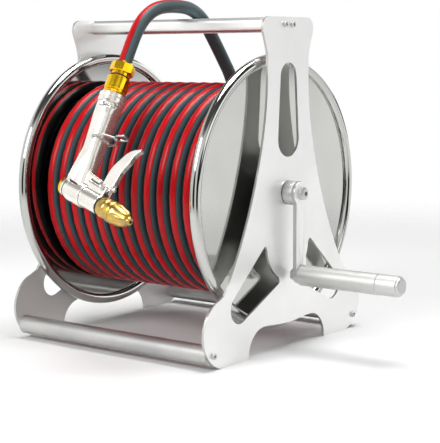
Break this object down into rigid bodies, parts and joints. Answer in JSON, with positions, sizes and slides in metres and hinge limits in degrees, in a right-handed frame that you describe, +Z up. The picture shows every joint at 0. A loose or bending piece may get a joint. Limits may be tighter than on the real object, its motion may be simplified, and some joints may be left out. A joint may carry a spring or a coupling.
{
  "type": "hose reel",
  "caption": "Free-standing garden hose reel with cut steel side plates, a polished drum of striped hose, a hand crank, a water inlet and a hanging spray gun.",
  "frame": {"origin": "on the floor, below the middle of the box round the reel without its free hose and spray gun", "axes": "+X along the axle from the water inlet to the crank, +Y from the front to the rear, +Z up"},
  "size_m": [0.4906, 0.3777, 0.4063],
  "materials": {
    "plate_steel": "satin laser-cut sheet",
    "polished_steel": "mirror polished",
    "tube_steel": "satin",
    "fine_steel": "bright zinc",
    "aluminium": "satin",
    "brass": "polished",
    "nickel": "bright nickel plate",
    "black_plastic": "matte",
    "seal_rubber": "matte",
    "hose": "satin, red and blue-grey stripes"
  },
  "bodies": {
    "frame": {"left_side_plate": "plate_steel", "right_side_plate": "plate_steel", "carry_bar": "tube_steel", "carry_bar_blocks": "aluminium", "carry_bar_screws": "fine_steel", "front_base_tube": "tube_steel", "rear_base_tube": "tube_steel", "base_tube_inserts": "aluminium", "base_tube_screws": "fine_steel", "left_bush": "black_plastic", "right_bush": "black_plastic", "free_hose": "hose", "hose_nut": "brass", "coupling_body": "brass", "coupling_seal": "seal_rubber", "gun_inlet_collar": "nickel", "gun_handle": "nickel", "gun_barrel": "nickel", "gun_rear_cap": "brass", "trigger_pin": "fine_steel", "valve_spring": "fine_steel"},
    "reel": {"left_disc": "polished_steel", "right_disc": "polished_steel", "drum_barrel": "tube_steel", "water_spindle": "brass", "crank_spindle": "fine_steel", "tie_rods": "fine_steel", "tie_rod_nuts": "fine_steel", "outlet_elbow": "brass", "hose_core": "hose", "hose_winding": "hose", "crank_hub": "fine_steel", "crank_arm": "plate_steel", "crank_screw": "fine_steel", "grip_bolt": "fine_steel", "grip_nut": "fine_steel", "swivel_clip": "fine_steel"},
    "grip": {"crank_grip": "aluminium", "grip_cap": "aluminium"},
    "inlet": {"inlet_elbow": "brass", "swivel_seals": "seal_rubber"},
    "sleeve": {"coupling_sleeve": "brass"},
    "trigger_lever": {"trigger": "nickel"},
    "stem": {"valve_stem": "fine_steel"},
    "lock": {"trigger_lock": "fine_steel"},
    "nozzle": {"nozzle_collar": "brass", "nozzle_tip": "brass"}
  },
  "joints": [
    {"name": "reel_spin", "type": "hinge", "parent": "frame", "child": "reel", "pos_m": [-0.05237, 0, 0.183], "axis": [1, 0, 0], "continuous": true},
    {"name": "grip_spin", "type": "hinge", "parent": "reel", "child": "grip", "pos_m": [0.17763, 0, 0.088], "axis": [1, 0, 0], "continuous": true},
    {"name": "inlet_swivel", "type": "hinge", "parent": "frame", "child": "inlet", "pos_m": [-0.21236, 0, 0.183], "axis": [1, 0, 0], "continuous": true},
    {"name": "sleeve_slide", "type": "slide", "parent": "frame", "child": "sleeve", "axis": [0, 0.4848, 0.8746], "range_m": [0, 0.003], "stiffness_N_per_m": 800, "springref_m": -0.004},
    {"name": "trigger_squeeze", "type": "hinge", "parent": "frame", "child": "trigger_lever", "pos_m": [-0.0142, -0.19293, 0.19547], "axis": [0, -0.8746, 0.4848], "range_deg": [0, 20], "stiffness_Nm_per_rad": 0.6, "springref_deg": -20.05},
    {"name": "stem_push", "type": "slide", "parent": "frame", "child": "stem", "axis": [0.9537, -0.1458, -0.263], "range_m": [0, 0.0046], "deforming": ["valve_spring"]},
    {"name": "lock_swing", "type": "hinge", "parent": "frame", "child": "lock", "pos_m": [-0.04936, -0.16448, 0.2468], "axis": [0, 0.8746, -0.4848], "range_deg": [-50, 5]},
    {"name": "nozzle_twist", "type": "hinge", "parent": "frame", "child": "nozzle", "pos_m": [-0.00468, -0.20329, 0.1768], "axis": [0.9537, -0.1458, -0.263], "range_deg": [0, 180]}
  ],
  "couplings": [
    {"joint": "stem_push", "follows": "trigger_squeeze", "m_per_rad": 0.0126}
  ]
}
